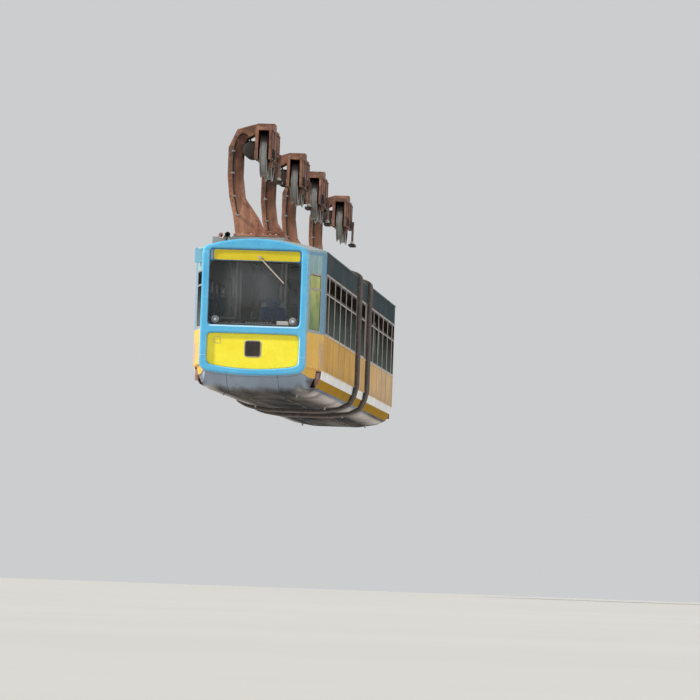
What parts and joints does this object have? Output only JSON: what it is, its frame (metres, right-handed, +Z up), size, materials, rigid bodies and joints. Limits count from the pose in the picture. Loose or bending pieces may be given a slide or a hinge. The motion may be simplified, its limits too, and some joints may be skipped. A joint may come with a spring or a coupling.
{
  "type": "suspended articulated monorail car",
  "caption": "Suspended monorail car in hinged sections with dark bellows between, hanging by hooked bogie arms whose flanged wheels run on a single rail above it",
  "frame": {"origin": "on the running surface of the rail head, mid-way along the car, on the rail's centre line", "axes": "+Z up, +Y from the driver's cab to the rear end, +X the side with windows only, -X the side with the doors and the hanger arms"},
  "size_m": [2.332, 24.06, 4.6352],
  "materials": {
    "yellow": "gloss",
    "light_blue": "gloss",
    "sky_blue": "gloss",
    "glass": "clear",
    "rubber": "matt",
    "rust": "matt",
    "steel": "satin",
    "seat": "matt",
    "grey": "matt",
    "lamp": "clear"
  },
  "bodies": {
    "middle_section": {"middle_underframe": "yellow", "middle_roof": "light_blue", "middle_wall_window_side": "yellow", "middle_panes_window_side": "glass", "middle_wall_door_side": "yellow", "middle_panes_door_side": "glass", "front_bellows": "rubber", "rear_bellows": "rubber"},
    "front_section": {"front_underframe": "yellow", "front_roof": "light_blue", "front_wall_window_side": "yellow", "front_wall_door_side": "yellow", "front_panes_window_side": "glass", "front_panes_door_side": "glass", "front_pane_near_cab": "glass", "front_pane_near_gangway": "glass", "front_nose_shell": "sky_blue", "front_nose_glass": "glass", "front_seats_window_side": "seat", "front_seats_door_side": "seat", "cab_bulkhead": "grey", "cab_desk": "grey", "driver_seat": "seat", "headlamps": "lamp", "wiper": "grey"},
    "front_door_1_leaf_a": {"front_door_1_leaf_a": "yellow"},
    "front_door_1_leaf_b": {"front_door_1_leaf_b": "yellow"},
    "front_door_2_leaf_a": {"front_door_2_leaf_a": "yellow"},
    "front_door_2_leaf_b": {"front_door_2_leaf_b": "yellow"},
    "rear_section": {"rear_underframe": "yellow", "rear_roof": "light_blue", "rear_wall_window_side": "yellow", "rear_wall_door_side": "yellow", "rear_panes_window_side": "glass", "rear_panes_door_side": "glass", "rear_pane_near_cab": "glass", "rear_pane_near_gangway": "glass", "rear_nose_shell": "sky_blue", "rear_nose_glass": "glass", "rear_seats_window_side": "seat", "rear_seats_door_side": "seat", "rear_shelf": "grey", "tail_lamps": "lamp"},
    "rear_door_1_leaf_a": {"rear_door_1_leaf_a": "yellow"},
    "rear_door_1_leaf_b": {"rear_door_1_leaf_b": "yellow"},
    "rear_door_2_leaf_a": {"rear_door_2_leaf_a": "yellow"},
    "rear_door_2_leaf_b": {"rear_door_2_leaf_b": "yellow"},
    "bogie_1": {"bogie_1_frame": "rust"},
    "bogie_1_front_wheel": {"bogie_1_front_wheel": "steel"},
    "bogie_1_rear_wheel": {"bogie_1_rear_wheel": "steel"},
    "bogie_2": {"bogie_2_frame": "rust"},
    "bogie_2_front_wheel": {"bogie_2_front_wheel": "steel"},
    "bogie_2_rear_wheel": {"bogie_2_rear_wheel": "steel"},
    "bogie_3": {"bogie_3_frame": "rust"},
    "bogie_3_front_wheel": {"bogie_3_front_wheel": "steel"},
    "bogie_3_rear_wheel": {"bogie_3_rear_wheel": "steel"},
    "bogie_4": {"bogie_4_frame": "rust"},
    "bogie_4_front_wheel": {"bogie_4_front_wheel": "steel"},
    "bogie_4_rear_wheel": {"bogie_4_rear_wheel": "steel"}
  },
  "joints": [
    {"name": "front_articulation", "type": "hinge", "parent": "middle_section", "child": "front_section", "pos_m": [0, -1.58, -3], "axis": [0, 0, 1], "range_deg": [-15, 15], "deforming": ["front_bellows"]},
    {"name": "front_door_1_leaf_a_hinge", "type": "hinge", "parent": "front_section", "child": "front_door_1_leaf_a", "pos_m": [-1.088, -9.631, -2.28], "axis": [0, 0, 1], "range_deg": [0, 90]},
    {"name": "front_door_1_leaf_b_hinge", "type": "hinge", "parent": "front_section", "child": "front_door_1_leaf_b", "pos_m": [-1.088, -8.369, -2.28], "axis": [0, 0, -1], "range_deg": [0, 90]},
    {"name": "front_door_2_leaf_a_hinge", "type": "hinge", "parent": "front_section", "child": "front_door_2_leaf_a", "pos_m": [-1.088, -4.331, -2.28], "axis": [0, 0, 1], "range_deg": [0, 90]},
    {"name": "front_door_2_leaf_b_hinge", "type": "hinge", "parent": "front_section", "child": "front_door_2_leaf_b", "pos_m": [-1.088, -3.069, -2.28], "axis": [0, 0, -1], "range_deg": [0, 90]},
    {"name": "rear_articulation", "type": "hinge", "parent": "middle_section", "child": "rear_section", "pos_m": [0, 1.58, -3], "axis": [0, 0, 1], "range_deg": [-15, 15], "deforming": ["rear_bellows"]},
    {"name": "rear_door_1_leaf_a_hinge", "type": "hinge", "parent": "rear_section", "child": "rear_door_1_leaf_a", "pos_m": [-1.088, 8.369, -2.28], "axis": [0, 0, 1], "range_deg": [0, 90]},
    {"name": "rear_door_1_leaf_b_hinge", "type": "hinge", "parent": "rear_section", "child": "rear_door_1_leaf_b", "pos_m": [-1.088, 9.631, -2.28], "axis": [0, 0, -1], "range_deg": [0, 90]},
    {"name": "rear_door_2_leaf_a_hinge", "type": "hinge", "parent": "rear_section", "child": "rear_door_2_leaf_a", "pos_m": [-1.088, 3.069, -2.28], "axis": [0, 0, 1], "range_deg": [0, 90]},
    {"name": "rear_door_2_leaf_b_hinge", "type": "hinge", "parent": "rear_section", "child": "rear_door_2_leaf_b", "pos_m": [-1.088, 4.331, -2.28], "axis": [0, 0, -1], "range_deg": [0, 90]},
    {"name": "bogie_1_pivot", "type": "hinge", "parent": "front_section", "child": "bogie_1", "pos_m": [0, -10.3, -1.015], "axis": [0, 0, 1], "range_deg": [-10, 10]},
    {"name": "bogie_1_front_wheel_spin", "type": "hinge", "parent": "bogie_1", "child": "bogie_1_front_wheel", "pos_m": [0, -10.85, 0.35], "axis": [1, 0, 0], "continuous": true},
    {"name": "bogie_1_rear_wheel_spin", "type": "hinge", "parent": "bogie_1", "child": "bogie_1_rear_wheel", "pos_m": [0, -9.75, 0.35], "axis": [1, 0, 0], "continuous": true},
    {"name": "bogie_2_pivot", "type": "hinge", "parent": "front_section", "child": "bogie_2", "pos_m": [0, -2.65, -1.015], "axis": [0, 0, 1], "range_deg": [-10, 10]},
    {"name": "bogie_2_front_wheel_spin", "type": "hinge", "parent": "bogie_2", "child": "bogie_2_front_wheel", "pos_m": [0, -3.2, 0.35], "axis": [1, 0, 0], "continuous": true},
    {"name": "bogie_2_rear_wheel_spin", "type": "hinge", "parent": "bogie_2", "child": "bogie_2_rear_wheel", "pos_m": [0, -2.1, 0.35], "axis": [1, 0, 0], "continuous": true},
    {"name": "bogie_3_pivot", "type": "hinge", "parent": "rear_section", "child": "bogie_3", "pos_m": [0, 2.65, -1.015], "axis": [0, 0, 1], "range_deg": [-10, 10]},
    {"name": "bogie_3_front_wheel_spin", "type": "hinge", "parent": "bogie_3", "child": "bogie_3_front_wheel", "pos_m": [0, 2.1, 0.35], "axis": [1, 0, 0], "continuous": true},
    {"name": "bogie_3_rear_wheel_spin", "type": "hinge", "parent": "bogie_3", "child": "bogie_3_rear_wheel", "pos_m": [0, 3.2, 0.35], "axis": [1, 0, 0], "continuous": true},
    {"name": "bogie_4_pivot", "type": "hinge", "parent": "rear_section", "child": "bogie_4", "pos_m": [0, 10.3, -1.015], "axis": [0, 0, 1], "range_deg": [-10, 10]},
    {"name": "bogie_4_front_wheel_spin", "type": "hinge", "parent": "bogie_4", "child": "bogie_4_front_wheel", "pos_m": [0, 9.75, 0.35], "axis": [1, 0, 0], "continuous": true},
    {"name": "bogie_4_rear_wheel_spin", "type": "hinge", "parent": "bogie_4", "child": "bogie_4_rear_wheel", "pos_m": [0, 10.85, 0.35], "axis": [1, 0, 0], "continuous": true}
  ]
}
